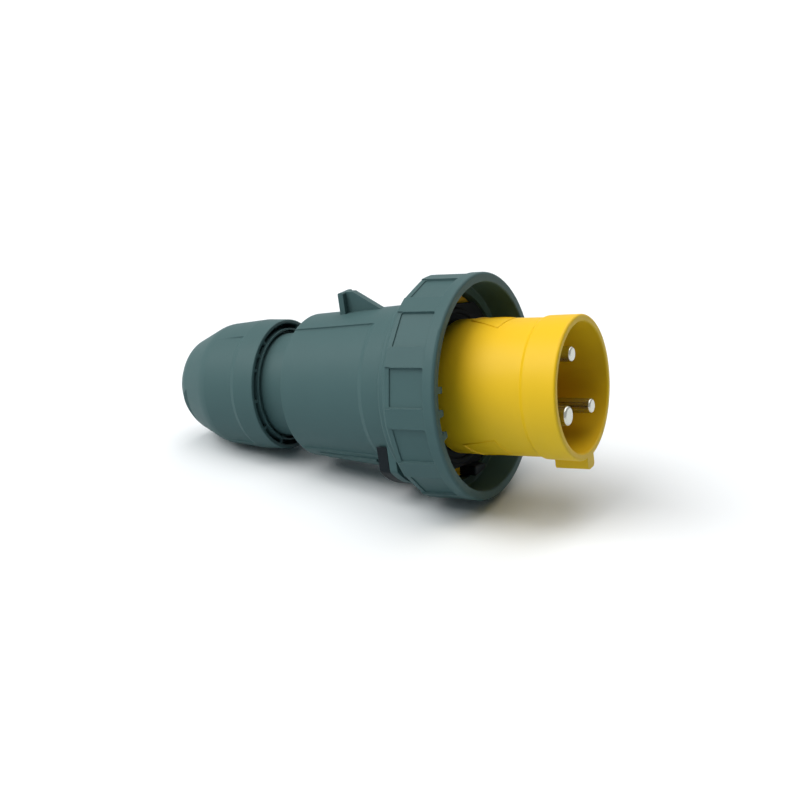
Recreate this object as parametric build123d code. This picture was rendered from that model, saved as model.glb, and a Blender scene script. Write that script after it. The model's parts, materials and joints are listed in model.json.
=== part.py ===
from build123d import *
import os
from math import asin, atan2, cos, degrees, hypot, radians, sin, sqrt, tan

# Industrial plug, pin and sleeve pattern, two poles and earth, with a locking ring and a cable gland.
#
# Every piece is drawn about the plug's own axis: X runs forward out of the mouth, Z runs up through the fin.
# A station is a distance behind the mouth, in millimetres, so it lies at x = -station.
# Angles are counted from the key at the bottom, anticlockwise as seen from behind, so 90 is the -Y side.
# At the end the whole plug is tipped about the centre of its mouth, until ring and gland nut lie on one level.

# Clearances
HELD_FIT = 0.05          # round a piece that is held fast
LOOSE_FIT = 0.2          # round a piece that drops in
TURNING_FIT = 0.3        # round a piece that turns or slides

# General
OVERLAP = 1.0            # how far a cutter or a joined block runs past the face that it meets
EDGE_ROUND = 0.5         # on small moulded edges
RIM_ROUND = 1.2          # on the outer rims of ring and nut
FAR_R = 60.0             # beyond every piece
SECTION_ANGLE = 270.0    # where the half sections of turned pieces are drawn

# Collar and the shroud behind it
MOUTH_R = 28.9
BAND_REAR_R = 28.6
BAND_LENGTH = 13.7
BAND_STEP = 1.3
COLLAR_R = 27.6
COLLAR_END = 55.5
COLLAR_ROUND = 3.2
COLLAR_DRAFT = 0.2
CUP_R = 26.0
CUP_DEPTH = 43.5
CUP_FLOOR = 6.0
CUP_ROUND = 1.5
MOUTH_ROUND = 1.0
SEAL_SEAT_STEP = 0.4       # from the end of the collar's root rounding in to the seal's seat
SEAL_THICK = 2.5
FLANGE_R = 38.5
FLANGE_THICK = 3.7
CAVITY_R = 21.8
SLEEVE_R = 29.2
SLEEVE_WALL = 2.4
SLEEVE_LENGTH = 15.0

KEY_WIDTH = 6.6
KEY_LENGTH = 14.0
KEY_TIP_R = 33.2
KEY_ROUND = 1.6

# Contacts
PITCH_R = 15.2
EARTH_ANGLE = 60.0
CONTACT_STEP = 105.0     # from the earth contact to each of the others
POLE_PIN_R = 3.0
EARTH_PIN_R = 4.0
PIN_TIP = 1.5            # station of the pole pins' tips
EARTH_TIP = 1.4
TIP_ROUND = 0.3          # share of the pin's radius that is rounded at its tip
GROOVE_LEAD = 0.2        # from the groove round each pin to the cup floor
GROOVE_LENGTH = 1.0
GROOVE_DEPTH = 0.3
PIN_HEAD_EXTRA = 2.4
PIN_HEAD_FRONT = 7.5     # from the carrier's front face to the pins' heads
BARREL_R = 5.6
BARREL_LENGTH = 27.5     # behind the retaining plate
WIRE_HOLE_R = 3.1
WIRE_HOLE_DEPTH = 20.0

# Contact carrier and the plate that holds the contacts in it
CARRIER_FLANGE_FRONT = 60.5
CARRIER_FLANGE_THICK = 3.0
PLATE_THICK = 3.0
BARRIER_R = 13.5
BARRIER_THICK = 1.6
BARRIER_LENGTH = 20.0

CARRIER_SCREW_R = 1.75
CARRIER_SCREW_PITCH_R = 17.6
CARRIER_SCREW_BITE = 4.5
SCREW_HEAD_R = 3.1
SCREW_HEAD_HEIGHT = 2.2
SLOT_WIDTH = 0.8
SLOT_DEPTH = 1.1

TERMINAL_SCREW_R = 2.0
TERMINAL_HEAD_R = 2.9
TERMINAL_HEAD_HEIGHT = 2.0
TERMINAL_SETBACKS = (13.5, 5.5)     # from the barrel's end to its two screws
TERMINAL_TIP_SINK = 0.6
TERMINAL_HEAD_GAP = 0.4

# Seals and the stop in front of the flange
SEAL_R = 38.2
SEAL_FLAT = 33.7          # from the axis to each of the two flats on the seal's rim
SEAL_FLAT_ANGLE = 10.0
SEAL_BEAD_R = 1.3
SEAL_BEAD_PITCH_R = 31.0
CORNER_SEAL_R = 1.1
STOP_FRONT = 50.6
STOP_OFFSET = 8.5        # of the stop along the seal's lower flat
STOP_WIDTH = 10.0
STOP_OUTER_R = 38.3
STOP_CORNER = 0.9
STOP_ROUND = 0.8
STOP_PEG_R = 1.2
STOP_PEG_LENGTH = 3.0
STOP_PEG_INSET = 1.6     # from the stop's inner face to its peg's middle

# Locking ring
RING_FRONT = 41.7
RING_GAP = 0.7           # between the flange's edge and the ring
RING_LEDGE = 3.4         # step from there out to the space for the mating collar
RING_WALL = 4.0
RING_FLOOR = 55.0
LOBE_DROP = 0.3          # fall of the lobes from front to rear
LOBE_END = 63.9
LOBE_ROUND = 0.5
FLAT_DEPTH = 0.5         # of the flat on each lobe, so that the plug doesn't roll
POCKET_COUNT = 12
POCKET_FRONT = 46.6
POCKET_REAR = 62.5
POCKET_DEPTH = 2.1
POCKET_HALF_ANGLE = 10.0
POCKET_DRAFT = 14.0
POCKET_CORNER = 0.6
LOW_WALL_DROP = 1.6      # of the wall behind each pocket, below the rim
CONE_FRONT = 64.6
CONE_DROP = 3.3
CONE_REAR = 68.8
CONE_REAR_WALL = 4.3
CONE_DRAFT = 0.2
RING_END = 71.2
RING_WEB_FRONT = 62.1
RING_WEB_THICK = 3.2
RING_WEB_R = 33.2
RAMP_HEIGHT = 2.6
RAMP_WIDTH = 3.0
RAMP_ARC = 46.0
RAMP_STATION = 50.0
RAMP_RISE = 3.0          # degrees
RAMP_ANGLES = (90.0, 270.0)
TOOTH_STATION = 42.2
TOOTH_LENGTH = 3.4
TOOTH_WIDTH = 2.6
TOOTH_HEIGHT = 3.9
TOOTH_ROUND = 0.7
TOOTH_ANGLES = (78.0, 91.0, 104.0)

# Rear housing
JOURNAL_R = 34.6
HOUSING_MID = 110.0
HOUSING_MID_R = 31.8
HOUSING_END = 124.0
HOUSING_END_R = 30.9
HOUSING_ROUND = 2.4
HOUSING_BORE_R = 29.4
HOUSING_TAPER_START = 98.0
HOUSING_REAR_BORE_R = 27.6
HOUSING_REAR_WALL = 4.0
CORNER_SEAL_DEPTH = 3.0
BOSS_R = 41.2
BOSS_HALF_WIDTH = 30.3
BOSS_CORNER = 3.0
BOSS_TOP = 8.0           # from the axis down to the boss
BOSS_FRONT = 71.5
BOSS_THICK = 3.5
PANEL_DEPTH = 0.9
PANEL_ROUND = 0.7
PANEL_RAMP = 2.0         # length of the slope at a grip panel's front
PANEL_FRONT = 82.0
PANEL_LOW_ANGLE = 44.0
PANEL_HIGH_ANGLE = 155.0
STRIP_FRONT = 86.0
STRIP_REAR = 115.0
STRIP_HALF_ANGLE = 40.0
STRIP_RAISE = 1.1

FIN_THICK = 3.0
FIN_FRONT = 86.4
FIN_TOP_FRONT = 99.2
FIN_TOP_R = 41.2
FIN_REAR = 105.2
FIN_FLANGE_WIDTH = 8.0
FIN_FLANGE_THICK = 2.6
FIN_ROUND = 0.8

# Locking slide under the housing
SLIDE_THICK = 4.6
SLIDE_GAP = 0.2
SLIDE_TRAVEL = 4.0
LEG_WIDTH = 8.0
LEG_TIP_R = 27.0
TOOTH_REACH = 1.9        # how far the leg's foot reaches forward into the shroud
SPRING_R = 1.7
SPRING_WIRE_R = 0.35
SPRING_TURNS = 6
SPRING_OFFSET = 1.2      # from the housing's bore out to the spring's axis
SPRING_SPACE = 12.2      # behind the slide
SPRING_END_GAP = 0.1

# Gland neck and what it holds
NECK_R = 22.6
NECK_END = 152.0
NECK_BORE_R = 19.4
CAGE_START = 144.5
CAGE_LIP_R = 14.0
CAGE_LIP_THICK = 1.5
CAGE_WALL = 2.0
CAGE_FLANGE_R = 21.6
CAGE_FLANGE_THICK = 0.9
CAGE_END = 168.0
CAGE_TIP_R = 15.1
FINGER_COUNT = 10
FINGER_GAP = 1.6
GROMMET_END = 165.5
INSERT_R = 11.2
INSERT_LIP = 0.8
CABLE_HOLE_R = 8.5

# Gland nut
NUT_FRONT = 139.5
NUT_FRONT_R = 28.7
NUT_BAND_END = 149.5
NUT_BAND_R = 28.9
NUT_SHOULDER = 168.5
NUT_SHOULDER_R = 27.1
NUT_CONE_END = 184.5
NUT_CONE_END_R = 19.9
NUT_END = 190.0
NUT_END_R = 13.6
NUT_MOUTH_R = 12.4
NUT_MOUTH_LENGTH = 4.0
NUT_SHOULDER_ROUND = 16.0
NUT_CONE_ROUND = 10.0
NUT_TRAVEL = 10.0
NUT_RIM_WALL = 1.8
NUT_THREAD_WALL = 0.5    # of the threaded tube at its front, then a groove, then the skirt
NUT_THREAD_FRONT = 0.8   # behind the rim
NUT_GROOVE_WIDTH = 0.6
NUT_GROOVE_DEPTH = 4.0
NUT_SKIRT_WALL = 0.8
NUT_SKIRT_PROUD = 0.7
NUT_POCKET_DEPTH = 7.0
NUT_RIB_ANGLES = (29.0, 59.0, 89.0, 119.0, 134.0, 149.0)
NUT_RIB_THICK = 1.2
NUT_RIB_SINK = 0.4
NUT_CONE_START_R = 20.3
NUT_PANEL_LOW_ANGLE = 40.0
NUT_PANEL_HIGH_ANGLE = 152.0
WRENCH_FLAT_ANGLE = 65.0
WRENCH_FLAT_R = 17.8
WRENCH_FLAT_FRONT = 181.0
WASHER_THICK = 1.4
WASHER_INNER_R = 19.8
SEAT_GAP = 0.1

# Places that follow from the sizes above
SEAL_SEAT_R = COLLAR_R - COLLAR_ROUND - SEAL_SEAT_STEP
SEAL_FRONT = COLLAR_END
FLANGE_FRONT = SEAL_FRONT + SEAL_THICK
FLANGE_REAR = FLANGE_FRONT + FLANGE_THICK
SLEEVE_END = FLANGE_REAR + SLEEVE_LENGTH
SLEEVE_BORE_R = SLEEVE_R - SLEEVE_WALL
CARRIER_FRONT = CUP_DEPTH + CUP_FLOOR
CARRIER_REAR = CARRIER_FLANGE_FRONT + CARRIER_FLANGE_THICK
PLATE_REAR = CARRIER_REAR + PLATE_THICK
BARREL_END = PLATE_REAR + BARREL_LENGTH
TERMINAL_STATIONS = [BARREL_END - setback for setback in TERMINAL_SETBACKS]
POLE_ANGLES = (EARTH_ANGLE + CONTACT_STEP, EARTH_ANGLE - CONTACT_STEP)
CONTACT_ANGLES = (EARTH_ANGLE, *POLE_ANGLES)
SCREW_ANGLES = (
    EARTH_ANGLE + CONTACT_STEP / 2,
    EARTH_ANGLE - CONTACT_STEP / 2,
    EARTH_ANGLE + 180,
)
RING_STEP_R = FLANGE_R + RING_GAP
RING_INNER_R = RING_STEP_R + RING_LEDGE
RING_R = RING_INNER_R + RING_WALL
LOBE_REAR_R = RING_R - LOBE_DROP
LOBE_FLAT_R = RING_R - FLAT_DEPTH
POCKET_PITCH = 360 / POCKET_COUNT
CONE_REAR_R = JOURNAL_R + TURNING_FIT + CONE_REAR_WALL
WEB_REAR = RING_WEB_FRONT + RING_WEB_THICK
BARREL_STEP_R = RING_WEB_R - TURNING_FIT
STOP_INNER_R = SEAL_FLAT + LOOSE_FIT
SEAL_CORNER_R = SLEEVE_R + 2 * CORNER_SEAL_R + 2 * HELD_FIT
BOSS_REAR = BOSS_FRONT + BOSS_THICK
SLIDE_FRONT = BOSS_REAR + SLIDE_GAP
SLIDE_REAR = SLIDE_FRONT + SLIDE_THICK
SPRING_AXIS_R = HOUSING_BORE_R + SPRING_OFFSET
SPRING_END = SLIDE_REAR + SPRING_SPACE
CAGE_FLANGE_REAR = NECK_END + CAGE_FLANGE_THICK
NUT_BORE_R = NECK_R + TURNING_FIT
WASHER_FRONT = CAGE_FLANGE_REAR + NUT_TRAVEL + TURNING_FIT
NUT_SEAT = WASHER_FRONT + WASHER_THICK + SEAT_GAP
NUT_SKIRT_R = NUT_BORE_R + NUT_THREAD_WALL + NUT_GROOVE_WIDTH
NUT_RIM_BORE_R = NUT_FRONT_R - NUT_RIM_WALL


def resting_tilt():
    """Slope of the line that touches the rear edge of a lobe's flat and the rounding of the nut's shoulder."""
    band_slope = atan2(NUT_BAND_R - NUT_SHOULDER_R, NUT_SHOULDER - NUT_BAND_END)
    cone_slope = atan2(NUT_SHOULDER_R - NUT_CONE_END_R, NUT_CONE_END - NUT_SHOULDER)
    normal = (band_slope + cone_slope) / 2
    reach = NUT_SHOULDER_ROUND / cos((cone_slope - band_slope) / 2)
    rounding_height = LOBE_FLAT_R - LOBE_REAR_R + LOBE_ROUND
    flat_end = LOBE_END - LOBE_ROUND + sqrt(LOBE_ROUND ** 2 - rounding_height ** 2)
    run = NUT_SHOULDER - reach * sin(normal) - flat_end
    drop = LOBE_FLAT_R - NUT_SHOULDER_R + reach * cos(normal)
    return degrees(atan2(drop, run) - asin(NUT_SHOULDER_ROUND / hypot(run, drop)))


def section(*corners):
    """Closed half section from corners (station, radius) or (station, radius, rounding)."""
    points = [(-corner[0], corner[1]) for corner in corners]
    rounding = [corner[2] if len(corner) == 3 else 0 for corner in corners]
    return make_face(FilletPolyline(*points, radius=rounding, close=True))


def turned(*corners):
    """Solid of revolution about the plug's axis."""
    return revolve(section(*corners), Axis.X, 360)


def at_angle(piece, angle):
    """A piece drawn at the bottom, turned about the axis to an angle."""
    return Rot(X=-angle) * piece


def sector(low, high, *corners):
    """Solid of revolution between two angles only."""
    wedge = revolve(section(*corners), Axis.X, high - low)
    return at_angle(wedge, high - SECTION_ANGLE)


def slab(outline, front, rear):
    """A sketch, drawn looking along the axis, made solid between two stations."""
    return Pos(-rear, 0, 0) * extrude(Plane.YZ * outline, amount=rear - front)


def bar(radius, front, rear, pitch_r=0.0, angle=0.0):
    """A round bar along the axis, for a pin, a screw or a hole."""
    return at_angle(slab(Pos(0, -pitch_r) * Circle(radius), front, rear), angle)


def block(width, front, rear, inner_r, outer_r, rounding=0.0):
    """A block at the bottom, between two stations and two distances from the axis."""
    outline = Pos(0, -(inner_r + outer_r) / 2) * Rectangle(width, outer_r - inner_r)
    if rounding:
        outline = fillet(outline.vertices().group_by(Axis.Y)[0], rounding)
    return slab(outline, front, rear)


def spoke(radius, station, inner_r, outer_r, angle):
    """A round bar that points away from the axis."""
    rod = Cylinder(radius, outer_r - inner_r, align=(Align.CENTER, Align.CENTER, Align.MIN))
    return at_angle(Pos(-station, 0, -outer_r) * rod, angle)


def shroud():
    """Yellow shroud: collar with its key, cup floor, flange and the sleeve that enters the housing."""
    body = turned(
        (0, CUP_R, EDGE_ROUND),
        (0, MOUTH_R, MOUTH_ROUND),
        (BAND_LENGTH, BAND_REAR_R, EDGE_ROUND),
        (BAND_LENGTH + BAND_STEP, COLLAR_R + COLLAR_DRAFT, EDGE_ROUND),
        (COLLAR_END, COLLAR_R, COLLAR_ROUND),
        (COLLAR_END, SEAL_SEAT_R),
        (FLANGE_FRONT, SEAL_SEAT_R),
        (FLANGE_FRONT, FLANGE_R, EDGE_ROUND),
        (FLANGE_REAR, FLANGE_R, EDGE_ROUND),
        (FLANGE_REAR, SLEEVE_R),
        (SLEEVE_END, SLEEVE_R, EDGE_ROUND),
        (SLEEVE_END, SLEEVE_BORE_R),
        (CARRIER_FLANGE_FRONT, SLEEVE_BORE_R),
        (CARRIER_FLANGE_FRONT, CAVITY_R),
        (CARRIER_FRONT, CAVITY_R),
        (CARRIER_FRONT, 0),
        (CUP_DEPTH, 0),
        (CUP_DEPTH, CUP_R, CUP_ROUND),
    )
    body += block(KEY_WIDTH, 0, KEY_LENGTH, CUP_R + OVERLAP, KEY_TIP_R, KEY_ROUND)
    hole_front = CUP_DEPTH - OVERLAP
    hole_rear = CARRIER_FRONT + OVERLAP
    body -= bar(EARTH_PIN_R + HELD_FIT, hole_front, hole_rear, PITCH_R, EARTH_ANGLE)
    for angle in POLE_ANGLES:
        body -= bar(POLE_PIN_R + HELD_FIT, hole_front, hole_rear, PITCH_R, angle)
    for angle in SCREW_ANGLES:
        bite_front = CARRIER_FRONT - CARRIER_SCREW_BITE
        body -= bar(CARRIER_SCREW_R + HELD_FIT, bite_front, hole_rear, CARRIER_SCREW_PITCH_R, angle)
    body -= block(LEG_WIDTH + 2 * TURNING_FIT, SLIDE_FRONT - TOOTH_REACH - TURNING_FIT, SLEEVE_END + OVERLAP,
                  SLEEVE_BORE_R - OVERLAP, SLEEVE_R + OVERLAP)
    return body - stop_peg(STOP_PEG_R + HELD_FIT, STOP_PEG_LENGTH + HELD_FIT)


def contact(radius, tip, angle):
    """Contact pin with its head, and behind it the barrel that takes a wire under two screws."""
    head_front = CARRIER_FRONT + PIN_HEAD_FRONT
    groove_front = CUP_DEPTH - GROOVE_LEAD
    groove_rear = groove_front + GROOVE_LENGTH
    pin = turned(
        (tip, 0),
        (tip, radius, radius * TIP_ROUND),
        (groove_front, radius),
        (groove_front, radius - GROOVE_DEPTH),
        (groove_rear, radius - GROOVE_DEPTH),
        (groove_rear, radius),
        (head_front, radius),
        (head_front, radius + PIN_HEAD_EXTRA),
        (CARRIER_REAR, radius + PIN_HEAD_EXTRA),
        (CARRIER_REAR, BARREL_R),
        (BARREL_END, BARREL_R, EDGE_ROUND),
        (BARREL_END, WIRE_HOLE_R),
        (BARREL_END - WIRE_HOLE_DEPTH, WIRE_HOLE_R),
        (BARREL_END - WIRE_HOLE_DEPTH, 0),
    )
    pin = at_angle(Pos(0, 0, -PITCH_R) * pin, angle)
    for station in TERMINAL_STATIONS:
        pin -= spoke(TERMINAL_SCREW_R + HELD_FIT, station, PITCH_R, PITCH_R + BARREL_R + OVERLAP, angle)
    return pin


def terminal_screws():
    """Two screws across each barrel, their tips just clear of the wire hole."""
    screws = []
    tip_r = PITCH_R + WIRE_HOLE_R - TERMINAL_TIP_SINK
    head_r = PITCH_R + BARREL_R + TERMINAL_HEAD_GAP
    top_r = head_r + TERMINAL_HEAD_HEIGHT
    slot_reach = TERMINAL_HEAD_R + OVERLAP
    for angle in CONTACT_ANGLES:
        for station in TERMINAL_STATIONS:
            screw = spoke(TERMINAL_SCREW_R, station, tip_r, head_r, angle)
            screw += spoke(TERMINAL_HEAD_R, station, head_r, top_r, angle)
            slot = block(SLOT_WIDTH, station - slot_reach, station + slot_reach, top_r - SLOT_DEPTH,
                         top_r + OVERLAP)
            screws.append(screw - at_angle(slot, angle))
    return Compound(screws)


def contact_carrier():
    """Block behind the cup floor that the contacts and the plate's screws pass through."""
    body = turned(
        (CARRIER_FRONT, 0),
        (CARRIER_FRONT, CAVITY_R - HELD_FIT),
        (CARRIER_FLANGE_FRONT, CAVITY_R - HELD_FIT),
        (CARRIER_FLANGE_FRONT, SLEEVE_BORE_R - LOOSE_FIT),
        (CARRIER_REAR, SLEEVE_BORE_R - LOOSE_FIT),
        (CARRIER_REAR, 0),
    )
    head_front = CARRIER_FRONT + PIN_HEAD_FRONT
    hole_front = CARRIER_FRONT - OVERLAP
    hole_rear = CARRIER_REAR + OVERLAP
    for angle, radius in zip(CONTACT_ANGLES, (EARTH_PIN_R, POLE_PIN_R, POLE_PIN_R)):
        body -= bar(radius + HELD_FIT, hole_front, hole_rear, PITCH_R, angle)
        body -= bar(radius + PIN_HEAD_EXTRA + HELD_FIT, head_front, hole_rear, PITCH_R, angle)
    for angle in SCREW_ANGLES:
        body -= bar(CARRIER_SCREW_R + LOOSE_FIT, hole_front, hole_rear, CARRIER_SCREW_PITCH_R, angle)
    return body


def retaining_plate():
    """Plate behind the contacts' heads, with a three-armed barrier between the barrels."""
    plate = bar(SLEEVE_BORE_R - LOOSE_FIT, CARRIER_REAR, PLATE_REAR)
    hole_front = CARRIER_REAR - OVERLAP
    hole_rear = PLATE_REAR + OVERLAP
    for angle in SCREW_ANGLES:
        arm = block(BARRIER_THICK, PLATE_REAR - OVERLAP, PLATE_REAR + BARRIER_LENGTH, 0, BARRIER_R)
        plate += at_angle(arm, angle)
        plate -= bar(CARRIER_SCREW_R + LOOSE_FIT, hole_front, hole_rear, CARRIER_SCREW_PITCH_R, angle)
    for angle in CONTACT_ANGLES:
        plate -= bar(BARREL_R + HELD_FIT, hole_front, hole_rear, PITCH_R, angle)
    return plate


def carrier_screws():
    """Screws that draw the plate and the carrier against the cup floor."""
    screws = []
    tip = CARRIER_FRONT - CARRIER_SCREW_BITE + LOOSE_FIT
    head_rear = PLATE_REAR + SCREW_HEAD_HEIGHT
    slot_reach = SCREW_HEAD_R + OVERLAP
    for angle in SCREW_ANGLES:
        screw = bar(CARRIER_SCREW_R, tip, PLATE_REAR, CARRIER_SCREW_PITCH_R, angle)
        screw += bar(SCREW_HEAD_R, PLATE_REAR, head_rear, CARRIER_SCREW_PITCH_R, angle)
        slot = block(SLOT_WIDTH, head_rear - SLOT_DEPTH, head_rear + OVERLAP,
                     CARRIER_SCREW_PITCH_R - slot_reach, CARRIER_SCREW_PITCH_R + slot_reach)
        screws.append(screw - at_angle(slot, angle))
    return Compound(screws)


def face_seal():
    """Flat seal in front of the flange, with the bead that the mating collar presses on."""
    seal = turned(
        (SEAL_FRONT, SEAL_SEAT_R),
        (SEAL_FRONT, SEAL_R, EDGE_ROUND),
        (FLANGE_FRONT, SEAL_R),
        (FLANGE_FRONT, SEAL_SEAT_R),
    )
    between_flats = Rectangle(2 * SEAL_R, 2 * SEAL_FLAT)
    seal &= at_angle(slab(between_flats, SEAL_FRONT - OVERLAP, FLANGE_FRONT + OVERLAP), SEAL_FLAT_ANGLE)
    bead = revolve(Pos(-SEAL_FRONT, SEAL_BEAD_PITCH_R) * Circle(SEAL_BEAD_R), Axis.X, 360)
    return seal + bead


def stop_peg(radius, length):
    """The stop's peg, which enters the flange; made larger, the hole for it."""
    outline = Pos(STOP_OFFSET, -STOP_INNER_R - STOP_PEG_INSET) * Circle(radius)
    return at_angle(slab(outline, FLANGE_FRONT - OVERLAP, FLANGE_FRONT + length), SEAL_FLAT_ANGLE)


def ring_stop():
    """Rounded stop on the flange that ends the locking ring's turn, in the room beside the seal's lower flat."""
    depth = STOP_OUTER_R - STOP_INNER_R
    outline = Circle(STOP_OUTER_R) & Pos(STOP_OFFSET, -STOP_INNER_R - depth / 2) * Rectangle(STOP_WIDTH, depth)
    outline = fillet(outline.vertices(), STOP_CORNER)
    stop = slab(outline, STOP_FRONT, FLANGE_FRONT)
    stop = fillet(stop.faces().sort_by(Axis.X)[-1].edges(), STOP_ROUND)
    return at_angle(stop, SEAL_FLAT_ANGLE) + stop_peg(STOP_PEG_R, STOP_PEG_LENGTH)


def corner_seal():
    """Round seal ring in the corner between the shroud's flange, its sleeve and the housing."""
    centre = (-(FLANGE_REAR + CORNER_SEAL_R + HELD_FIT), SLEEVE_R + CORNER_SEAL_R + HELD_FIT)
    return revolve(Pos(*centre) * Circle(CORNER_SEAL_R), Axis.X, 360)


def ring_pocket():
    """Cutter for one finger pocket of the ring: flat floor, sloping walls and a low wall behind."""
    length = POCKET_REAR - POCKET_FRONT
    width = 2 * RING_R * sin(radians(POCKET_HALF_ANGLE))
    slopes = 2 * POCKET_DEPTH * tan(radians(POCKET_DRAFT))
    floor = Rectangle(length - slopes, width - slopes)
    floor = fillet(floor.vertices(), POCKET_CORNER)
    cutter = extrude(floor, amount=2 * POCKET_DEPTH, taper=-POCKET_DRAFT)
    cutter = Pos(-(POCKET_FRONT + POCKET_REAR) / 2, 0, POCKET_DEPTH - RING_R) * Rot(X=180) * cutter
    low_wall = block(width, POCKET_REAR - OVERLAP, LOBE_END + OVERLAP, RING_R - LOW_WALL_DROP, RING_R + OVERLAP)
    return cutter + low_wall


def lobe_flat():
    """Cutter for the flat on one lobe between two pockets."""
    width = 2 * RING_R * sin(radians(POCKET_PITCH / 2))
    return block(width, POCKET_FRONT, LOBE_END + OVERLAP, LOBE_FLAT_R, RING_R + OVERLAP)


def ring_ramp():
    """Sloping rib inside the ring that draws the mating collar in as the ring turns."""
    middle = RAMP_STATION + RAMP_WIDTH / 2
    rib = sector(
        -RAMP_ARC / 2, RAMP_ARC / 2,
        (RAMP_STATION, RING_INNER_R - RAMP_HEIGHT, EDGE_ROUND),
        (RAMP_STATION, RING_INNER_R + OVERLAP),
        (RAMP_STATION + RAMP_WIDTH, RING_INNER_R + OVERLAP),
        (RAMP_STATION + RAMP_WIDTH, RING_INNER_R - RAMP_HEIGHT, EDGE_ROUND),
    )
    return Pos(-middle, 0, 0) * Rot(Z=RAMP_RISE) * Pos(middle, 0, 0) * rib


def ring_tooth():
    """One ratchet tooth just inside the ring's rim, round at its tip."""
    outline = Pos(0, TOOTH_HEIGHT / 2 - RING_INNER_R) * Rectangle(TOOTH_WIDTH, TOOTH_HEIGHT)
    outline = fillet(outline.vertices().group_by(Axis.Y)[-1], TOOTH_ROUND)
    root = block(TOOTH_WIDTH, TOOTH_STATION, TOOTH_STATION + TOOTH_LENGTH, RING_INNER_R - OVERLAP,
                 RING_INNER_R + OVERLAP)
    return root + slab(outline, TOOTH_STATION, TOOTH_STATION + TOOTH_LENGTH)


def locking_ring():
    """Locking ring: rim, lobes and finger pockets, cone, running web, and the ramps and teeth inside."""
    ring = turned(
        (RING_FRONT, RING_INNER_R, EDGE_ROUND),
        (RING_FRONT, RING_R, RIM_ROUND),
        (LOBE_END, LOBE_REAR_R, LOBE_ROUND),
        (CONE_FRONT, RING_R - CONE_DROP),
        (CONE_REAR, CONE_REAR_R),
        (RING_END, CONE_REAR_R - CONE_DRAFT, RIM_ROUND),
        (RING_END, JOURNAL_R + TURNING_FIT),
        (WEB_REAR, JOURNAL_R + TURNING_FIT),
        (WEB_REAR, RING_WEB_R),
        (RING_WEB_FRONT, RING_WEB_R),
        (RING_WEB_FRONT, RING_STEP_R),
        (RING_FLOOR, RING_STEP_R),
        (RING_FLOOR, RING_INNER_R, EDGE_ROUND),
    )
    for count in range(POCKET_COUNT):
        ring -= at_angle(lobe_flat(), POCKET_PITCH * count)
        ring -= at_angle(ring_pocket(), POCKET_PITCH * (count + 0.5))
    for angle in RAMP_ANGLES:
        ring += at_angle(ring_ramp(), angle)
    for angle in TOOTH_ANGLES:
        ring += at_angle(ring_tooth(), angle)
    return ring


def boss_outline():
    """The box-like outline under the housing that flange and slide share."""
    box = Pos(0, -BOSS_R / 2 - BOSS_TOP) * Rectangle(2 * BOSS_HALF_WIDTH, BOSS_R)
    outline = Circle(BOSS_R) & box
    corners = outline.vertices().group_by(Axis.Y)[0]
    return fillet(corners, BOSS_CORNER)


def side_panel(low, high, *floor):
    """Cutter for a shallow grip panel between two angles, from the (station, radius) corners of its floor."""
    wedge = sector(low, high, *floor, (floor[-1][0], FAR_R), (floor[0][0], FAR_R))
    sides = [
        edge for edge in wedge.edges().filter_by(GeomType.LINE)
        if all(hypot(corner.Y, corner.Z) < FAR_R - OVERLAP for corner in edge.vertices())
    ]
    return fillet(sides, PANEL_ROUND)


def fin():
    """Lid catch on top: a thin web that rises to a wider plate at its rear."""
    root_r = HOUSING_MID_R - OVERLAP
    web_rear = FIN_REAR - FIN_FLANGE_THICK / 2
    web = make_face(Polyline(
        (-FIN_FRONT, root_r), (-FIN_FRONT, housing_radius(FIN_FRONT)), (-FIN_TOP_FRONT, FIN_TOP_R),
        (-web_rear, FIN_TOP_R), (-web_rear, root_r), close=True,
    ))
    web = extrude(Plane.XZ * web, amount=FIN_THICK / 2, both=True)
    plate_front = FIN_REAR - FIN_FLANGE_THICK
    plate = make_face(FilletPolyline(
        (-FIN_REAR, root_r), (-FIN_REAR, FIN_TOP_R), (-plate_front, FIN_TOP_R), (-plate_front, root_r),
        radius=(0, FIN_ROUND, FIN_ROUND, 0), close=True,
    ))
    plate = extrude(Plane.XZ * plate, amount=FIN_FLANGE_WIDTH / 2, both=True)
    return web + plate


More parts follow.
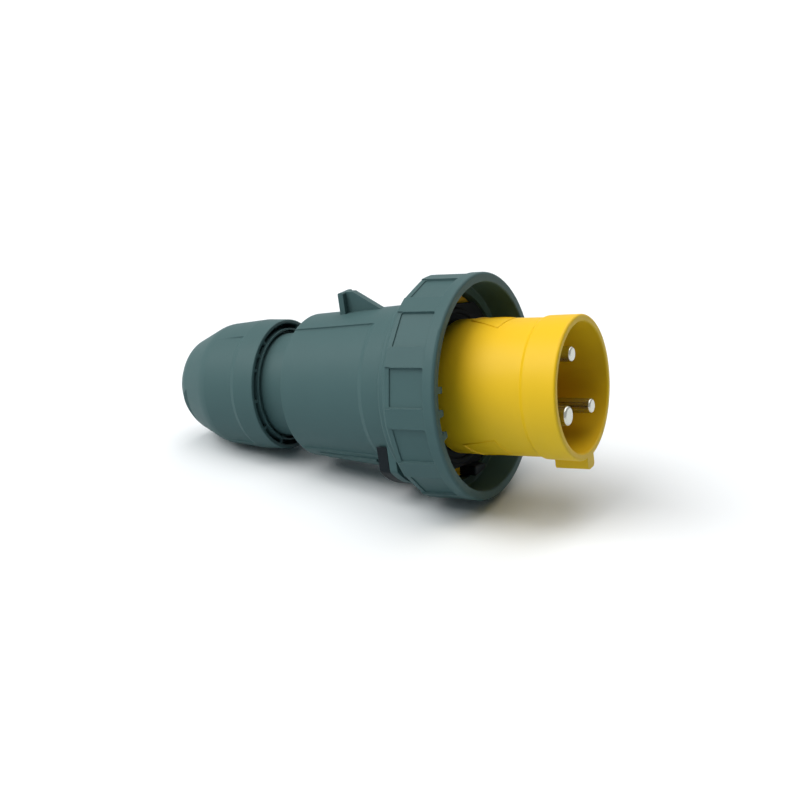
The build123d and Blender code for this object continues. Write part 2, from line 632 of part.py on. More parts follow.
def rear_housing():
    """Grey housing: journal for the ring, grip body, bottom boss, fin and the gland neck."""
    body = turned(
        (FLANGE_REAR, SEAL_CORNER_R),
        (FLANGE_REAR, BARREL_STEP_R),
        (WEB_REAR + TURNING_FIT, BARREL_STEP_R),
        (WEB_REAR + TURNING_FIT, JOURNAL_R),
        (RING_END, JOURNAL_R),
        (HOUSING_MID, HOUSING_MID_R),
        (HOUSING_END, HOUSING_END_R, HOUSING_ROUND),
        (HOUSING_END, NECK_R, EDGE_ROUND),
        (NECK_END, NECK_R, EDGE_ROUND),
        (NECK_END, NECK_BORE_R),
        (HOUSING_END - HOUSING_REAR_WALL, NECK_BORE_R),
        (HOUSING_END - HOUSING_REAR_WALL, HOUSING_REAR_BORE_R),
        (HOUSING_TAPER_START, HOUSING_BORE_R),
        (FLANGE_REAR + CORNER_SEAL_DEPTH, HOUSING_BORE_R),
        (FLANGE_REAR + CORNER_SEAL_DEPTH, SEAL_CORNER_R),
    )
    ramp_rear = PANEL_FRONT + PANEL_RAMP
    panel = side_panel(
        PANEL_LOW_ANGLE, PANEL_HIGH_ANGLE,
        (PANEL_FRONT - PANEL_RAMP, housing_radius(PANEL_FRONT) + PANEL_DEPTH),
        (ramp_rear, housing_radius(ramp_rear) - PANEL_DEPTH),
        (HOUSING_MID, HOUSING_MID_R - PANEL_DEPTH),
        (HOUSING_END + OVERLAP, HOUSING_END_R - PANEL_DEPTH),
    )
    body -= panel
    body -= mirror(panel, Plane.XZ)
    body += sector(
        -STRIP_HALF_ANGLE, STRIP_HALF_ANGLE,
        (STRIP_FRONT, HOUSING_MID_R - OVERLAP),
        (STRIP_FRONT, housing_radius(STRIP_FRONT) + STRIP_RAISE, EDGE_ROUND),
        (STRIP_REAR, HOUSING_MID_R),
        (STRIP_REAR, HOUSING_MID_R - OVERLAP),
    )
    boss = slab(boss_outline(), BOSS_FRONT, BOSS_REAR)
    body += boss - bar(JOURNAL_R - OVERLAP, BOSS_FRONT - OVERLAP, BOSS_REAR + OVERLAP)
    body += fin()
    window_rear = SLIDE_REAR + SLIDE_TRAVEL + TURNING_FIT
    body -= block(LEG_WIDTH + 2 * TURNING_FIT, SLIDE_FRONT - TURNING_FIT, window_rear,
                  HOUSING_BORE_R - OVERLAP, JOURNAL_R + OVERLAP)
    coil_r = SPRING_R + SPRING_WIRE_R
    body -= block(2 * coil_r + 2 * TURNING_FIT, SLIDE_REAR, SPRING_END, HOUSING_BORE_R - OVERLAP,
                  SPRING_AXIS_R + coil_r + LOOSE_FIT)
    return body


def housing_radius(station):
    """Outer radius of the housing's straight flank at a station."""
    slope = (JOURNAL_R - HOUSING_MID_R) / (HOUSING_MID - RING_END)
    return JOURNAL_R - slope * (station - RING_END)


def locking_slide():
    """Black slide under the housing, with the leg that locks housing and shroud together."""
    strap = slab(boss_outline(), SLIDE_FRONT, SLIDE_REAR)
    strap -= bar(JOURNAL_R + TURNING_FIT, SLIDE_FRONT - OVERLAP, SLIDE_REAR + OVERLAP)
    leg = block(LEG_WIDTH, SLIDE_FRONT, SLIDE_REAR, LEG_TIP_R, JOURNAL_R + 2 * OVERLAP)
    foot = block(LEG_WIDTH, SLIDE_FRONT - TOOTH_REACH, SLIDE_REAR, LEG_TIP_R, HOUSING_BORE_R - TURNING_FIT)
    return strap + leg + foot


def slide_spring():
    """Coil spring that pushes the slide forward."""
    end_space = SPRING_WIRE_R + SPRING_END_GAP
    length = SPRING_SPACE - 2 * end_space
    coil = Helix(length / SPRING_TURNS, length, SPRING_R)
    wire = sweep(Plane(origin=coil @ 0, z_dir=coil % 0) * Circle(SPRING_WIRE_R), path=coil, is_frenet=True)
    return Pos(end_space - SPRING_END, 0, -SPRING_AXIS_R) * Rot(Y=90) * wire


def cage_slot():
    """Cutter for the gap between two fingers of the clamping cage."""
    inner_r = CAGE_TIP_R - CAGE_WALL - OVERLAP
    return block(FINGER_GAP, CAGE_FLANGE_REAR + OVERLAP, CAGE_END + OVERLAP, inner_r, CAGE_FLANGE_R)


def clamping_cage():
    """Clamping cage in the neck, whose fingers the nut's cone presses onto the cable."""
    outer_r = NECK_BORE_R - HELD_FIT
    lip_rear = CAGE_START + CAGE_LIP_THICK
    cage = turned(
        (CAGE_START, CAGE_LIP_R),
        (CAGE_START, outer_r),
        (NECK_END, outer_r),
        (NECK_END, CAGE_FLANGE_R),
        (CAGE_FLANGE_REAR, CAGE_FLANGE_R),
        (CAGE_FLANGE_REAR, outer_r),
        (CAGE_END, CAGE_TIP_R, EDGE_ROUND),
        (CAGE_END, CAGE_TIP_R - CAGE_WALL),
        (CAGE_FLANGE_REAR, outer_r - CAGE_WALL),
        (lip_rear, outer_r - CAGE_WALL),
        (lip_rear, CAGE_LIP_R),
    )
    for count in range(FINGER_COUNT):
        cage -= at_angle(cage_slot(), 360 / FINGER_COUNT * (count + 0.5))
    return cage


def sealing_grommet():
    """Rubber grommet inside the cage."""
    inner_r = NECK_BORE_R - CAGE_WALL - 2 * HELD_FIT
    slope = (NECK_BORE_R - CAGE_TIP_R) / (CAGE_END - CAGE_FLANGE_REAR)
    end_r = inner_r - slope * (GROMMET_END - CAGE_FLANGE_REAR)
    return turned(
        (CAGE_START + CAGE_LIP_THICK, INSERT_R),
        (CAGE_START + CAGE_LIP_THICK, inner_r),
        (CAGE_FLANGE_REAR, inner_r),
        (GROMMET_END, end_r, EDGE_ROUND),
        (GROMMET_END, INSERT_R),
    )


def grommet_insert():
    """Inner sleeve of the grommet, which is pulled out for a thicker cable."""
    return turned(
        (CAGE_START + CAGE_LIP_THICK, CABLE_HOLE_R, EDGE_ROUND),
        (CAGE_START + CAGE_LIP_THICK, INSERT_R),
        (GROMMET_END, INSERT_R),
        (GROMMET_END + INSERT_LIP, INSERT_R - INSERT_LIP),
        (GROMMET_END + INSERT_LIP, CABLE_HOLE_R, EDGE_ROUND),
    )


def thrust_washer():
    """Washer that lets the nut turn without twisting the cage."""
    return turned(
        (WASHER_FRONT, WASHER_INNER_R),
        (WASHER_FRONT, NUT_BORE_R - TURNING_FIT),
        (WASHER_FRONT + WASHER_THICK, NUT_BORE_R - TURNING_FIT),
        (WASHER_FRONT + WASHER_THICK, WASHER_INNER_R),
    )


def nut_rib():
    """One of the ribs between the nut's rim and its skirt."""
    return block(NUT_RIB_THICK, NUT_FRONT + NUT_RIB_SINK, NUT_FRONT + NUT_POCKET_DEPTH + OVERLAP,
                 NUT_SKIRT_R + NUT_SKIRT_WALL / 2, NUT_RIM_BORE_R + NUT_RIM_WALL / 2)


def gland_nut():
    """Gland nut: ribbed front, grip panels, shoulder, dome with two wrench flats, and the cable mouth."""
    thread_front = NUT_FRONT + NUT_THREAD_FRONT
    groove_floor = NUT_FRONT + NUT_GROOVE_DEPTH
    skirt_front = NUT_FRONT - NUT_SKIRT_PROUD
    pocket_floor = NUT_FRONT + NUT_POCKET_DEPTH
    nut = turned(
        (NUT_FRONT, NUT_RIM_BORE_R, EDGE_ROUND),
        (NUT_FRONT, NUT_FRONT_R, EDGE_ROUND),
        (NUT_BAND_END, NUT_BAND_R),
        (NUT_SHOULDER, NUT_SHOULDER_R, NUT_SHOULDER_ROUND),
        (NUT_CONE_END, NUT_CONE_END_R, NUT_CONE_ROUND),
        (NUT_END, NUT_END_R, RIM_ROUND),
        (NUT_END, NUT_MOUTH_R),
        (NUT_END - NUT_MOUTH_LENGTH, NUT_MOUTH_R),
        (NUT_SEAT, NUT_CONE_START_R),
        (NUT_SEAT, NUT_BORE_R),
        (thread_front, NUT_BORE_R),
        (thread_front, NUT_BORE_R + NUT_THREAD_WALL),
        (groove_floor, NUT_BORE_R + NUT_THREAD_WALL),
        (groove_floor, NUT_SKIRT_R),
        (skirt_front, NUT_SKIRT_R),
        (skirt_front, NUT_SKIRT_R + NUT_SKIRT_WALL),
        (pocket_floor, NUT_SKIRT_R + NUT_SKIRT_WALL),
        (pocket_floor, NUT_RIM_BORE_R),
    )
    for angle in NUT_RIB_ANGLES:
        nut += at_angle(nut_rib(), angle)
        nut += at_angle(nut_rib(), angle + 180)
    panel = side_panel(
        NUT_PANEL_LOW_ANGLE, NUT_PANEL_HIGH_ANGLE,
        (NUT_BAND_END - PANEL_RAMP, NUT_BAND_R + PANEL_DEPTH),
        (NUT_BAND_END + PANEL_RAMP, NUT_BAND_R - PANEL_DEPTH),
        (NUT_SHOULDER + PANEL_RAMP, NUT_SHOULDER_R),
    )
    facet = block(2 * NUT_CONE_END_R, WRENCH_FLAT_FRONT, NUT_END + OVERLAP, WRENCH_FLAT_R, FAR_R)
    for angle in (0, 180):
        nut -= at_angle(panel, angle)
        nut -= at_angle(facet, WRENCH_FLAT_ANGLE + angle)
    return nut


def pieces():
    """Every piece by name, drawn about the plug's own axis."""
    return {
        "shroud": shroud(),
        "earth_pin": contact(EARTH_PIN_R, EARTH_TIP, EARTH_ANGLE),
        "line_pin": contact(POLE_PIN_R, PIN_TIP, POLE_ANGLES[0]),
        "neutral_pin": contact(POLE_PIN_R, PIN_TIP, POLE_ANGLES[1]),
        "terminal_screws": terminal_screws(),
        "contact_carrier": contact_carrier(),
        "retaining_plate": retaining_plate(),
        "carrier_screws": carrier_screws(),
        "face_seal": face_seal(),
        "ring_stop": ring_stop(),
        "corner_seal": corner_seal(),
        "locking_ring": locking_ring(),
        "rear_housing": rear_housing(),
        "locking_slide": locking_slide(),
        "slide_spring": slide_spring(),
        "clamping_cage": clamping_cage(),
        "sealing_grommet": sealing_grommet(),
        "grommet_insert": grommet_insert(),
        "thrust_washer": thrust_washer(),
        "gland_nut": gland_nut(),
    }


def write_pieces():
    """Lay every piece down with the whole plug and write one file for each."""
    os.makedirs("parts", exist_ok=True)
    tilt = resting_tilt()
    for name, piece in pieces().items():
        export_step(Rot(Y=-tilt) * piece, f"parts/{name}.step")


write_pieces()
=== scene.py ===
"""Looks for an industrial plug: the finish of every piece, its fine raised work, and the studio round it."""

from __future__ import annotations

import json
import logging
import math
from dataclasses import dataclass
from enum import Enum
from typing import Iterable, Sequence

import bmesh
import bpy
from mathutils import Matrix, Vector

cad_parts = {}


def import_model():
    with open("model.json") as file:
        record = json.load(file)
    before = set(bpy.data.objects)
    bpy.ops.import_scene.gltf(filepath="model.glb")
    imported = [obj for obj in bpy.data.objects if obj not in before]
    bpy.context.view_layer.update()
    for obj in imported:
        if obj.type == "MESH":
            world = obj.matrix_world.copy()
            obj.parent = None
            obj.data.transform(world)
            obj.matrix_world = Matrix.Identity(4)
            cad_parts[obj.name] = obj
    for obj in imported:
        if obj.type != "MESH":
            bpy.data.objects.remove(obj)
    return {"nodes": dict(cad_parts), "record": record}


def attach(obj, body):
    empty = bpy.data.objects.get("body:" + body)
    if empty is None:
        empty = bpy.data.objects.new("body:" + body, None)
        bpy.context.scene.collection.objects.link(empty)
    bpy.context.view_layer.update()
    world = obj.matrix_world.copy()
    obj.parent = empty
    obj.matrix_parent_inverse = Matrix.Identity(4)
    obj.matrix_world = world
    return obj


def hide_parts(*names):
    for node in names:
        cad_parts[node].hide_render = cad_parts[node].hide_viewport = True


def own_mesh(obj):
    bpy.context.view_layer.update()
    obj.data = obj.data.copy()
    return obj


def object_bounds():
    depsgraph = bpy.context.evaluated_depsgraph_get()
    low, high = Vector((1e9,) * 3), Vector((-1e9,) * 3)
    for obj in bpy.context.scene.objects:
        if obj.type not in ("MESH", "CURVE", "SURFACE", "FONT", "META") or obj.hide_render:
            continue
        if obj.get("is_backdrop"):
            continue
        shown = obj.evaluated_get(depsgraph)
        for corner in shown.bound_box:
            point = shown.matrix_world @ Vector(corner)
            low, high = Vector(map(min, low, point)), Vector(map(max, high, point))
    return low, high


LOG = logging.getLogger("industrial_plug")
MM = 0.001

Colour = tuple[float, float, float]


class Slot(Enum):
    """The record's material slots."""

    YELLOW_PLASTIC = "yellow_plastic"
    GREY_PLASTIC = "grey_plastic"
    BLACK_PLASTIC = "black_plastic"
    BLACK_RUBBER = "black_rubber"
    GREY_RUBBER = "grey_rubber"
    NICKEL = "nickel_plated_brass"
    ZINC = "zinc_steel"
    SPRING_STEEL = "spring_steel"
    NYLON = "natural_nylon"


def mix_colours(tree: bpy.types.NodeTree, share: bpy.types.NodeSocket, one: Colour | bpy.types.NodeSocket,
                other: Colour | bpy.types.NodeSocket) -> bpy.types.NodeSocket:
    """Add a node that mixes two colours.

    Args:
        tree: The node tree to add to.
        share: 0 for the first colour and 1 for the second.
        one: First colour, or the socket that gives it.
        other: Second colour, or the socket that gives it.

    Returns:
        The socket with the mixed colour.
    """
    node = tree.nodes.new("ShaderNodeMix")
    node.data_type = "RGBA"
    for name, colour in (("A", one), ("B", other)):
        if isinstance(colour, bpy.types.NodeSocket):
            tree.links.new(colour, node.inputs[name])
        else:
            node.inputs[name].default_value = (*colour, 1)
    tree.links.new(share, node.inputs["Factor"])
    return node.outputs["Result"]


class ShaderNet:
    """A new material's node tree, with short ways to add nodes and join them."""

    def __init__(self, name: str) -> None:
        """Make the material and find its surface shader.

        Args:
            name: The material's name.
        """
        self.material = bpy.data.materials.new(name)
        self.material.use_nodes = True
        self.tree = self.material.node_tree
        self.shader = self.tree.nodes["Principled BSDF"]
        self.place = self.tree.nodes.new("ShaderNodeTexCoord").outputs["Object"]

    def set(self, **values: object) -> None:
        """Set plain values on the surface shader's own sockets.

        Args:
            values: Socket names with underscores for spaces, and their values.
        """
        for name, value in values.items():
            self.shader.inputs[name.replace("_", " ")].default_value = value

    def noise(self, scale: float, detail: float = 2.0,
              stretch: Sequence[float] = (1, 1, 1)) -> bpy.types.NodeSocket:
        """Add a noise pattern in the piece's own space.

        Args:
            scale: Spots to a metre.
            detail: Number of finer layers.
            stretch: Factor on each direction, for drawn or turned marks.

        Returns:
            The socket that holds the noise, from 0 to 1.
        """
        mapping = self.tree.nodes.new("ShaderNodeMapping")
        mapping.inputs["Scale"].default_value = stretch
        self.tree.links.new(self.place, mapping.inputs["Vector"])
        noise = self.tree.nodes.new("ShaderNodeTexNoise")
        noise.inputs["Scale"].default_value = scale
        noise.inputs["Detail"].default_value = detail
        self.tree.links.new(mapping.outputs["Vector"], noise.inputs["Vector"])
        return noise.outputs["Fac"]

    def ramp(self, source: bpy.types.NodeSocket, low: float, high: float) -> bpy.types.NodeSocket:
        """Spread a socket's 0 to 1 over another range.

        Args:
            source: The socket to read.
            low: The value at 0.
            high: The value at 1.

        Returns:
            The socket with the new value.
        """
        node = self.tree.nodes.new("ShaderNodeMapRange")
        node.inputs["To Min"].default_value = low
        node.inputs["To Max"].default_value = high
        self.tree.links.new(source, node.inputs["Value"])
        return node.outputs["Result"]

    def edges(self, radius: float, samples: int = 4) -> tuple[bpy.types.NodeSocket, bpy.types.NodeSocket]:
        """Find the piece's edges with a rounded normal.

        Args:
            radius: How far from an edge the rounding reaches, in metres.
            samples: Rays that look for an edge at each point.

        Returns:
            The rounded normal, and a mask that is 1 on flats and lower on edges.
        """
        rounded = self.tree.nodes.new("ShaderNodeBevel")
        rounded.samples = samples
        rounded.inputs["Radius"].default_value = radius
        flat = self.tree.nodes.new("ShaderNodeNewGeometry")
        dot = self.tree.nodes.new("ShaderNodeVectorMath")
        dot.operation = "DOT_PRODUCT"
        self.tree.links.new(rounded.outputs["Normal"], dot.inputs[0])
        self.tree.links.new(flat.outputs["Normal"], dot.inputs[1])
        return rounded.outputs["Normal"], dot.outputs["Value"]

    def relief(self, height: bpy.types.NodeSocket, depth: float,
               normal: bpy.types.NodeSocket | None = None) -> None:
        """Give the surface a fine relief.

        Args:
            height: The socket with the height, from 0 to 1.
            depth: Height of 1, in metres.
            normal: The normal that the relief stands on, if not the surface's.
        """
        bump = self.tree.nodes.new("ShaderNodeBump")
        bump.inputs["Distance"].default_value = depth
        bump.inputs["Strength"].default_value = 1.0
        self.tree.links.new(height, bump.inputs["Height"])
        if normal is not None:
            self.tree.links.new(normal, bump.inputs["Normal"])
        self.tree.links.new(bump.outputs["Normal"], self.shader.inputs["Normal"])

    def feed(self, source: bpy.types.NodeSocket, name: str) -> None:
        """Join a socket to one of the surface shader's."""
        self.tree.links.new(source, self.shader.inputs[name])


@dataclass(frozen=True)
class MouldedPlastic:
    """A moulded plastic with fine grain, faint mottling and rounded edges carrying a painted highlight: a
    paler colour painted where the edges would catch the light.

    Scales are in spots to a metre, and lengths in metres.
    """

    name: str
    colour: Colour
    # Paler colour painted on the edges as a painted highlight.
    edge_highlight_colour: Colour
    roughness: float = 0.48
    smoother: float = 0.04
    rougher: float = 0.05
    mottling: float = 0.05
    mottle_scale: float = 90.0
    sheen_scale: float = 270.0
    grain_scale: float = 2600.0
    grain_depth: float = 0.000012
    edge_radius: float = 0.0004
    specular: float = 0.3
    refraction: float = 1.49

    def material(self) -> bpy.types.Material:
        """Build the material.

        Returns:
            The material, ready to go into a piece's slots.
        """
        net = ShaderNet(self.name)
        pale = tuple(c * (1 + self.mottling) for c in self.colour)
        deep = tuple(c * (1 - self.mottling) for c in self.colour)
        normal, flatness = net.edges(self.edge_radius)
        body = mix_colours(net.tree, net.noise(self.mottle_scale, detail=3.0), deep, pale)
        # Painted highlight: the edges are painted in the paler colour where the rounded normal turns away from
        # the flat one.
        net.feed(mix_colours(net.tree, flatness, self.edge_highlight_colour, body), "Base Color")
        sheen = net.noise(self.sheen_scale)
        net.feed(net.ramp(sheen, self.roughness - self.smoother, self.roughness + self.rougher), "Roughness")
        net.relief(net.noise(self.grain_scale, detail=1.0), self.grain_depth, normal)
        net.set(IOR=self.refraction, Specular_IOR_Level=self.specular)
        return net.material


@dataclass(frozen=True)
class Rubber:
    """A soft rubber with a dull skin and a dusty bloom.

    Scales are in spots to a metre, and lengths in metres.
    """

    name: str
    colour: Colour
    roughness: float = 0.78
    roughness_spread: float = 0.06
    patch_scale: float = 300.0
    bloom: float = 0.35
    bloom_lift: float = 0.004
    bloom_scale: float = 140.0
    skin_scale: float = 1500.0
    skin_depth: float = 0.00003
    specular: float = 0.2
    refraction: float = 1.52

    def material(self) -> bpy.types.Material:
        """Build the material.

        Returns:
            The material, ready to go into a piece's slots.
        """
        net = ShaderNet(self.name)
        dusty = tuple(c * (1 + self.bloom) + self.bloom_lift for c in self.colour)
        bloom = net.noise(self.bloom_scale, detail=4.0)
        net.feed(mix_colours(net.tree, bloom, self.colour, dusty), "Base Color")
        patches, spread = net.noise(self.patch_scale), self.roughness_spread
        net.feed(net.ramp(patches, self.roughness - spread, self.roughness + spread), "Roughness")
        net.relief(net.noise(self.skin_scale), self.skin_depth)
        net.set(IOR=self.refraction, Specular_IOR_Level=self.specular)
        return net.material


@dataclass(frozen=True)
class DrawnMetal:
    """A plated or drawn metal with fine marks along one direction.

    Scales are in spots to a metre, and lengths in metres.
    """

    name: str
    colour: Colour
    roughness: float
    smoothest: float = 0.8
    roughest: float = 1.3
    dulling: float = 0.86
    dull_scale: float = 120.0
    marks: tuple[float, float, float] = (1.0, 1.0, 1.0)
    mark_scale: float = 900.0
    mark_depth: float = 0.000004
    edge_radius: float = 0.0002

    def material(self) -> bpy.types.Material:
        """Build the material.

        Returns:
            The material, ready to go into a piece's slots.
        """
        net = ShaderNet(self.name)
        dull = tuple(c * self.dulling for c in self.colour)
        haze = net.noise(self.dull_scale, detail=3.0)
        net.feed(mix_colours(net.tree, haze, self.colour, dull), "Base Color")
        marks = net.noise(self.mark_scale, stretch=self.marks)
        net.feed(net.ramp(marks, self.roughness * self.smoothest, self.roughness * self.roughest), "Roughness")
        normal, _ = net.edges(self.edge_radius)
        net.relief(marks, self.mark_depth, normal)
        net.set(Metallic=1.0)
        return net.material


# In each moulded plastic the second colour is a painted highlight for its edges.
FINISHES: dict[Slot, MouldedPlastic | Rubber | DrawnMetal] = {
    Slot.YELLOW_PLASTIC: MouldedPlastic(
        "yellow_moulded", (0.83, 0.50, 0.010), (0.88, 0.56, 0.02), roughness=0.46, mottling=0.015,
        specular=0.25),
    Slot.GREY_PLASTIC: MouldedPlastic(
        "grey_green_moulded", (0.058, 0.110, 0.110), (0.105, 0.180, 0.180), roughness=0.5, mottling=0.03,
        specular=0.2),
    Slot.BLACK_PLASTIC: MouldedPlastic(
        "black_moulded", (0.005, 0.009, 0.012), (0.012, 0.018, 0.023), roughness=0.5, mottling=0.1,
        specular=0.15),
    Slot.BLACK_RUBBER: Rubber("black_seal_rubber", (0.006, 0.008, 0.010), specular=0.15),
    Slot.GREY_RUBBER: Rubber("grey_gland_rubber", (0.045, 0.048, 0.05)),
    Slot.NICKEL: DrawnMetal("nickel_plate", (0.56, 0.57, 0.51), 0.24, marks=(0.08, 1.0, 1.0)),
    Slot.ZINC: DrawnMetal("zinc_plate", (0.6, 0.62, 0.64), 0.34),
    Slot.SPRING_STEEL: DrawnMetal("spring_wire", (0.5, 0.5, 0.52), 0.28),
    Slot.NYLON: MouldedPlastic("natural_nylon", (0.62, 0.60, 0.53), (0.7, 0.68, 0.62), roughness=0.55),
}


class FinishRack:
    """Keeps one built material for each slot and puts it on pieces."""

    def __init__(self) -> None:
        """Start with no material built."""
        self._built: dict[Slot, bpy.types.Material] = {}

    def put_on(self, piece: bpy.types.Object, slot: Slot) -> None:
        """Dress a piece in a slot's finish.

        Args:
            piece: The mesh object.
            slot: The record's slot.
        """
        if slot not in self._built:
            self._built[slot] = FINISHES[slot].material()
        if not piece.material_slots:
            piece.data.materials.append(None)
        for held in piece.material_slots:
            held.link = "OBJECT"
            held.material = self._built[slot]


@dataclass
class Frame:
    """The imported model, its nodes by name, and the plug's own axis in the frame."""

    nodes: dict[str, bpy.types.Object]
    slots: dict[str, Slot]
    to_row: Matrix

    @classmethod
    def load(cls) -> Frame:
        """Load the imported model.

        Returns:
            The frame with its axis worked out from the mating face's mount.
        """
        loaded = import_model()
        record = loaded["record"]
        mounts = {mount["name"]: mount for mount in record["mounts"]}
        forward = Vector(mounts["mating_face"]["axis"]).normalized()
        origin = Vector(mounts["mating_face"]["pos_m"])
        side = Vector((0, 1, 0))
        up = forward.cross(side)
        turn = Matrix((forward, side, up)).transposed().to_4x4()
        slots = {part["node"]: Slot(part["material_slot"]) for part in record["subparts"]}
        return cls(loaded["nodes"], slots, Matrix.Translation(origin) @ turn)

    @property
    def forward(self) -> Vector:
        """Direction of the plug's axis, out of the mouth."""
        return self.to_row.col[0].to_3d()

    def point(self, station: float, angle: float, radius: float) -> Vector:
        """Turn a place on the plug into the frame.

        Args:
            station: Distance behind the mouth, in millimetres.
            angle: Angle from the key, in degrees, 90 being the -Y side.
            radius: Distance from the plug's axis, in millimetres.

        Returns:
            The point, in metres.
        """
        a = math.radians(angle)
        return self.to_row @ (Vector((-station, -radius * math.sin(a), -radius * math.cos(a))) * MM)


def new_piece(name: str, points: Iterable[Vector], faces: Iterable[Sequence[int]]) -> bpy.types.Object:
    """Make a mesh object from points in the frame.

    Args:
        name: The piece's name.
        points: Its corners, in metres.
        faces: Corner numbers of each face.

    Returns:
        The new object, smooth shaded, with its faces turned outward.
    """
    mesh = bpy.data.meshes.new(name)
    mesh.from_pydata([tuple(p) for p in points], [], [tuple(f) for f in faces])
    work = bmesh.new()
    work.from_mesh(mesh)
    bmesh.ops.recalc_face_normals(work, faces=work.faces)
    work.to_mesh(mesh)
    work.free()
    for polygon in mesh.polygons:
        polygon.use_smooth = True
    piece = bpy.data.objects.new(name, mesh)
    bpy.context.scene.collection.objects.link(piece)
    return piece


def wrapped_ridge(frame: Frame, name: str, corners: Sequence[tuple[float, float]], radius: float, width: float,
                  height: float, steps: int = 16) -> bpy.types.Object:
    """Make a low closed ridge that follows a round wall about the plug's axis.

    Args:
        frame: Gives the plug's axis.
        name: The piece's name.
        corners: Station in millimetres and angle in degrees of each corner.
        radius: Radius of the wall, in millimetres.
        width: Width of the ridge, in millimetres.
        height: How far it stands out of the wall, in millimetres.
        steps: Sections on each side.

    Returns:
        The ridge, its foot sunk by its own height.
    """
    profile = ((-1, -height), (-0.5, height), (0.5, height), (1, -height))
    least_cosine = 0.5
    arc = radius * math.radians(1)
    turns = [Vector((station, angle * arc)) for station, angle in corners]
    path = [turns[k].lerp(turns[(k + 1) % len(turns)], step / steps)
            for k in range(len(turns)) for step in range(steps)]
    points = []
    for k, here in enumerate(path):
        before = (here - path[k - 1]).normalized()
        after = (path[(k + 1) % len(path)] - here).normalized()
        along = (before + after).normalized()
        across = Vector((-along.y, along.x)) * (width / 2 / max(along.dot(before), least_cosine))
        for side, rise in profile:
            place = here + side * across
            points.append(frame.point(place.x, place.y / arc, radius + rise))
    count = len(profile)
    faces = []
    for k in range(len(path)):
        here, there = k * count, (k + 1) % len(path) * count
        faces += [(here + i, here + (i + 1) % count, there + (i + 1) % count, there + i) for i in range(count)]
    return new_piece(name, points, faces)


@dataclass
class SubAssembly:
    """A group of the plug's nodes that goes together, with the finish of each."""

    frame: Frame
    rack: FinishRack
    nodes: tuple[str, ...] = ()

    def dress(self) -> None:
        """Put its finish on every node of the group."""
        for name in self.nodes:
            self.rack.put_on(self.frame.nodes[name], self.frame.slots[name])
            LOG.info("dressed %s in %s", name, self.frame.slots[name].value)

    def build(self) -> None:
        """Dress the nodes; groups with pieces of their own add them."""
        self.dress()


@dataclass
class Contacts(SubAssembly):
    """Pins, terminal screws, and the carrier and plate that hold them."""

    nodes: tuple[str, ...] = ("earth_pin", "line_pin", "neutral_pin", "terminal_screws", "contact_carrier",
                              "retaining_plate", "carrier_screws")


@dataclass
class CollarShroud(SubAssembly):
    """Yellow shroud with its seals and the stop, and two plain raised frames on the collar."""

    nodes: tuple[str, ...] = ("shroud", "face_seal", "ring_stop", "corner_seal")
    collar_radius: float = 27.68
    frame_width: float = 0.5
    frame_height: float = 0.4
    top_frame: tuple[tuple[float, float], ...] = ((45.0, 178.0), (30.2, 162.5), (27.5, 186.0), (42.0, 200.0))
    low_frame: tuple[tuple[float, float], ...] = ((45.0, 49.0), (29.9, 56.6), (26.5, 33.0), (41.0, 25.0))

    def build(self) -> None:
        """Dress the nodes and raise the two frames."""
        self.dress()
        for name, corners in (("top_raised_frame", self.top_frame), ("low_raised_frame", self.low_frame)):
            ridge = wrapped_ridge(self.frame, name, corners, self.collar_radius, self.frame_width,
                                  self.frame_height)
            self.rack.put_on(ridge, Slot.YELLOW_PLASTIC)
            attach(ridge, "housing")
            LOG.info("raised %s", name)


@dataclass
class LockingRing(SubAssembly):
    """The grey ring with its pockets, ramps and teeth, in one piece."""

    nodes: tuple[str, ...] = ("locking_ring",)


@dataclass
class Housing(SubAssembly):
    """Rear housing with its slide, and the spring that the slide shortens as it moves back."""

    nodes: tuple[str, ...] = ("rear_housing", "locking_slide", "slide_spring")
    slide_travel: float = 4.0

    def build(self) -> None:
        """Dress the nodes and set the spring."""
        self.dress()
        self.set_spring()

    def set_spring(self) -> None:
        """Put a copy of the solid spring in its place, dressed and hung on the housing with a mesh of its own,
        and hide the solid one.
        """
        spring = bpy.data.objects.new("return_spring", self.frame.nodes["slide_spring"].data.copy())
        bpy.context.scene.collection.objects.link(spring)
        self.rack.put_on(spring, Slot.SPRING_STEEL)
        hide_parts("slide_spring")
        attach(spring, "housing")
        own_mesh(spring)


@dataclass
class CableGland(SubAssembly):
    """Gland nut and what it presses on the cable."""

    nodes: tuple[str, ...] = ("gland_nut", "thrust_washer", "clamping_cage", "sealing_grommet",
                              "grommet_insert")


@dataclass(frozen=True)
class Lamp:
    """A broad, far lamp. Its azimuth runs from +X towards +Y, in degrees."""

    name: str
    strength: float
    azimuth: float
    elevation: float
    breadth: float = 45.0
    colour: Colour = (1.0, 1.0, 1.0)

    def hang(self) -> None:
        """Add the lamp to the scene."""
        light = bpy.data.lights.new(self.name, "SUN")
        light.energy = self.strength
        light.color = self.colour
        light.angle = math.radians(self.breadth)
        azimuth, elevation = math.radians(self.azimuth), math.radians(self.elevation)
        place = Vector((math.cos(elevation) * math.cos(azimuth), math.cos(elevation) * math.sin(azimuth),
                        math.sin(elevation)))
        lamp = bpy.data.objects.new(self.name, light)
        lamp.rotation_mode = "QUATERNION"
        lamp.rotation_quaternion = place.to_track_quat("Z", "Y")
        lamp.location = place
        bpy.context.scene.collection.objects.link(lamp)
        LOG.info("hung %s", self.name)


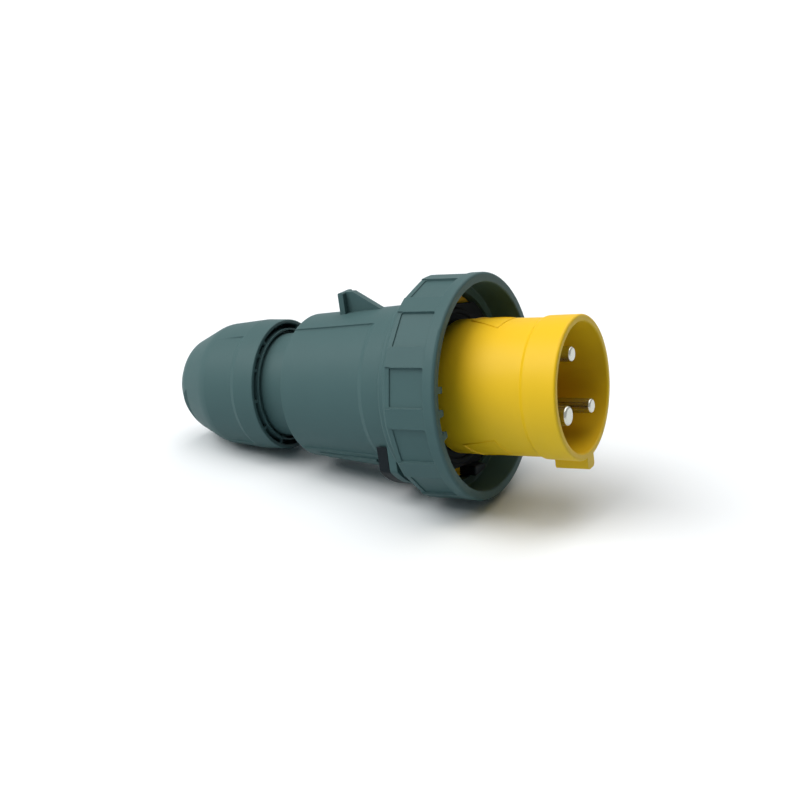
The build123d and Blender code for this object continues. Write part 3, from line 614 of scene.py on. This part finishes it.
@dataclass
class Studio:
    """Pale floor, white surroundings and soft light from above and behind the plug."""

    floor_z: float
    floor_radius: float = 6.0
    floor_corners: int = 48
    floor_roughness: float = 0.9
    floor_seen: Colour = (0.93, 0.93, 0.93)
    floor_lit: Colour = (0.58, 0.68, 0.72)
    ambient_behind: Colour = (0.08, 0.12, 0.15)
    ambient_ahead: Colour = (0.0, 0.01, 0.02)
    mirrored: float = 0.5
    lamps: tuple[Lamp, ...] = (
        Lamp("key_lamp", 1.98, 225, 50),
        Lamp("top_lamp", 1.28, 0, 90),
        Lamp("far_lamp", 0.72, 90, 50),
        Lamp("side_lamp", 0.80, 225, 20, 80, (0.92, 1.0, 1.0)),
    )

    def build(self) -> None:
        """Build floor, surroundings and lamps."""
        self.floor()
        self.surroundings()
        for lamp in self.lamps:
            lamp.hang()

    @staticmethod
    def seen_directly(tree: bpy.types.NodeTree, mirrored: float = 1.0) -> bpy.types.NodeSocket:
        """Tell rays that look at a thing from those that only light others.

        Args:
            tree: The node tree to add to.
            mirrored: What mirror rays count for.

        Returns:
            A socket that is 1 for camera rays, the given share for mirror rays and 0 for others.
        """
        path = tree.nodes.new("ShaderNodeLightPath")
        part = tree.nodes.new("ShaderNodeMath")
        part.operation = "MULTIPLY"
        tree.links.new(path.outputs["Is Glossy Ray"], part.inputs[0])
        part.inputs[1].default_value = mirrored
        seen = tree.nodes.new("ShaderNodeMath")
        seen.operation = "MAXIMUM"
        tree.links.new(path.outputs["Is Camera Ray"], seen.inputs[0])
        tree.links.new(part.outputs[0], seen.inputs[1])
        return seen.outputs[0]

    def floor(self) -> None:
        """Lay the round floor, white to look at and dimmer as it throws light back."""
        turns = [2 * math.pi * k / self.floor_corners for k in range(self.floor_corners)]
        rim = [Vector((self.floor_radius * math.cos(turn), self.floor_radius * math.sin(turn), self.floor_z))
               for turn in turns]
        floor = new_piece("floor", rim, [range(self.floor_corners)])
        net = ShaderNet("pale_floor")
        net.set(Roughness=self.floor_roughness, Specular_IOR_Level=0.0)
        colour = mix_colours(net.tree, self.seen_directly(net.tree), self.floor_lit, self.floor_seen)
        net.feed(colour, "Base Color")
        floor.data.materials.append(net.material)
        floor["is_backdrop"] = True
        LOG.info("laid floor at %.4f", self.floor_z)

    def surroundings(self) -> None:
        """Make the surroundings white to look at and dimmer as light, most so ahead of the plug."""
        world = bpy.data.worlds.new("studio")
        bpy.context.scene.world = world
        world.use_nodes = True
        tree = world.node_tree
        heading = tree.nodes.new("ShaderNodeSeparateXYZ")
        tree.links.new(tree.nodes.new("ShaderNodeTexCoord").outputs["Generated"], heading.inputs["Vector"])
        ahead = tree.nodes.new("ShaderNodeMapRange")
        ahead.inputs["From Min"].default_value = -1.0
        tree.links.new(heading.outputs["X"], ahead.inputs["Value"])
        ambient = mix_colours(tree, ahead.outputs["Result"], self.ambient_behind, self.ambient_ahead)
        light = mix_colours(tree, self.seen_directly(tree, self.mirrored), ambient, (1.0, 1.0, 1.0))
        tree.links.new(light, tree.nodes["Background"].inputs["Color"])


@dataclass(frozen=True)
class Viewpoint:
    """The camera at the photograph's angle. Its place is in millimetres about the plug's own axis."""

    place: tuple[float, float, float] = (192.7, -457.5, 135.5)
    right: tuple[float, float, float] = (0.8657, 0.4834, -0.1301)
    forward: tuple[float, float, float] = (-0.5003, 0.8269, -0.2567)
    lens: float = 58.59
    sensor: float = 36.0
    nearest: float = 0.01
    farthest: float = 20.0

    def build(self, to_row: Matrix) -> None:
        """Set up the camera and make it the scene's.

        Args:
            to_row: From the plug's own axes to the frame.
        """
        turn = to_row.to_3x3()
        back = turn @ -Vector(self.forward).normalized()
        up = back.cross(turn @ Vector(self.right)).normalized()
        right = up.cross(back)
        data = bpy.data.cameras.new("camera")
        data.lens = self.lens
        data.sensor_width = self.sensor
        data.clip_start = self.nearest
        data.clip_end = self.farthest
        camera = bpy.data.objects.new("camera", data)
        place = to_row @ (Vector(self.place) * MM)
        camera.matrix_world = Matrix.Translation(place) @ Matrix((right, up, back)).transposed().to_4x4()
        bpy.context.scene.collection.objects.link(camera)
        bpy.context.scene.camera = camera
        LOG.info("camera stands at %s", tuple(round(c, 4) for c in place))


def main() -> None:
    """Dress the plug, light it and place the camera."""
    logging.basicConfig(level=logging.INFO, format="%(name)s: %(message)s")
    frame = Frame.load()
    cad_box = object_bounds()
    rack = FinishRack()
    for group in (Contacts, CollarShroud, LockingRing, Housing, CableGland):
        group(frame, rack).build()
    Viewpoint().build(frame.to_row)
    Studio(floor_z=cad_box[0].z).build()
    bpy.context.scene.view_settings.view_transform = "Standard"


if __name__ == "__main__":
    main()
